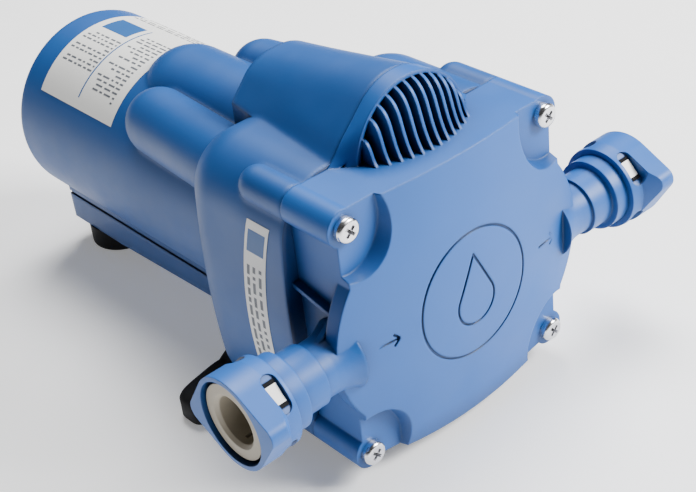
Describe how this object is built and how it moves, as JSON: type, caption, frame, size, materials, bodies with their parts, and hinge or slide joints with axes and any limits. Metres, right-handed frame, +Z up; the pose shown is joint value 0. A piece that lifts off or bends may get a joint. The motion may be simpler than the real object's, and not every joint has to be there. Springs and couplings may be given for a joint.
{
  "type": "caravan water pump",
  "caption": "Electric diaphragm water pump with a domed head, finned grille hood, push-fit ports, cylindrical motor shell and rubber feet.",
  "frame": {"origin": "centre of the bounding box at the height of the feet's undersides", "axes": "+Y along the motor axis from the pump head to the motor's end, +X along the ports from inlet to outlet, +Z up"},
  "size_m": [0.171, 0.213, 0.119],
  "materials": {
    "blue_plastic": "satin moulded plastic",
    "collet_grey": "stone-coloured moulded plastic",
    "white_plastic": "white moulded plastic",
    "black_plastic": "black moulded plastic",
    "natural_plastic": "undyed moulded plastic",
    "black_rubber": "matt moulded rubber",
    "screw_steel": "bright stainless steel",
    "steel": "turned steel",
    "spring_steel": "drawn spring steel",
    "lamination_steel": "stacked laminations",
    "ferrite": "sintered ferrite",
    "copper": "enamelled copper",
    "zinc": "die-cast metal",
    "carbon": "pressed carbon"
  },
  "bodies": {
    "housing": {"front_cover": "blue_plastic", "rear_housing": "blue_plastic", "outlet_collar": "blue_plastic", "inlet_collar": "blue_plastic", "cover_screws": "screw_steel", "cover_gasket": "black_rubber", "front_foot_left": "black_rubber", "front_foot_right": "black_rubber", "rear_foot": "black_rubber", "outlet_cartridge": "white_plastic", "inlet_cartridge": "white_plastic", "outlet_grab_ring": "spring_steel", "inlet_grab_ring": "spring_steel", "outlet_o_ring": "black_rubber", "inlet_o_ring": "black_rubber", "valve_plate": "natural_plastic", "inlet_valves": "black_rubber", "outlet_valve": "black_rubber", "valve_seal": "black_rubber", "diaphragm": "black_rubber", "diaphragm_plate": "black_plastic", "drive_housing": "black_plastic", "motor_can": "steel", "magnets": "ferrite", "front_end_bell": "zinc", "rear_end_bell": "zinc", "front_bearing": "steel", "rear_bearing": "steel", "brush_holders": "black_plastic", "brush_spring_left": "spring_steel", "brush_spring_right": "spring_steel", "motor_screws": "screw_steel", "motor_cushion_rings": "black_rubber", "switch_pressure_cap": "natural_plastic", "switch_diaphragm": "black_rubber", "switch_barrel": "natural_plastic", "pressure_adjuster": "white_plastic", "switch_spring": "spring_steel", "microswitch_case": "black_plastic", "cable_grommet": "black_rubber"},
    "rotor": {"motor_shaft": "steel", "armature_core": "lamination_steel", "armature_windings": "copper", "commutator": "copper", "swash_hub": "zinc", "hub_set_screw": "steel", "wobble_bearing_inner": "steel"},
    "wobbler": {"wobble_plate": "black_plastic", "piston_heads": "natural_plastic", "piston_screws": "screw_steel", "wobble_bearing_outer": "steel", "wobble_bearing_balls": "screw_steel"},
    "inlet_release": {"inlet_collet": "collet_grey"},
    "outlet_release": {"outlet_collet": "collet_grey"},
    "switch_rod": {"switch_plunger": "white_plastic"},
    "switch_button": {"microswitch_button": "white_plastic"},
    "left_brush": {"brush_left": "carbon"},
    "right_brush": {"brush_right": "carbon"}
  },
  "joints": [
    {"name": "rotor_spin", "type": "hinge", "parent": "housing", "child": "rotor", "pos_m": [0, 0, 0.0524], "axis": [0, 1, 0], "continuous": true},
    {"name": "wobble_turn", "type": "hinge", "parent": "rotor", "child": "wobbler", "pos_m": [0, -0.07515, 0.0524], "axis": [0, 0.9986, 0.0523], "continuous": true, "deforming": ["diaphragm"]},
    {"name": "inlet_collet_press", "type": "slide", "parent": "housing", "child": "inlet_release", "axis": [1, 0, 0], "range_m": [0, 0.002], "stiffness_N_per_m": 1500},
    {"name": "outlet_collet_press", "type": "slide", "parent": "housing", "child": "outlet_release", "axis": [-1, 0, 0], "range_m": [0, 0.002], "stiffness_N_per_m": 1500},
    {"name": "switch_press", "type": "slide", "parent": "housing", "child": "switch_rod", "axis": [0, 1, 0], "range_m": [0, 0.0008], "stiffness_N_per_m": 3000, "deforming": ["switch_spring"]},
    {"name": "button_press", "type": "slide", "parent": "housing", "child": "switch_button", "axis": [0, 1, 0], "range_m": [0, 0.0008]},
    {"name": "left_brush_slide", "type": "slide", "parent": "housing", "child": "left_brush", "axis": [-1, 0, 0], "range_m": [0, 0.002], "stiffness_N_per_m": 300, "springref_m": -0.003, "deforming": ["brush_spring_left"]},
    {"name": "right_brush_slide", "type": "slide", "parent": "housing", "child": "right_brush", "axis": [1, 0, 0], "range_m": [0, 0.002], "stiffness_N_per_m": 300, "springref_m": -0.003, "deforming": ["brush_spring_right"]}
  ],
  "couplings": [
    {"joint": "wobble_turn", "follows": "rotor_spin", "ratio": -1},
    {"joint": "button_press", "follows": "switch_press", "ratio": 1}
  ]
}
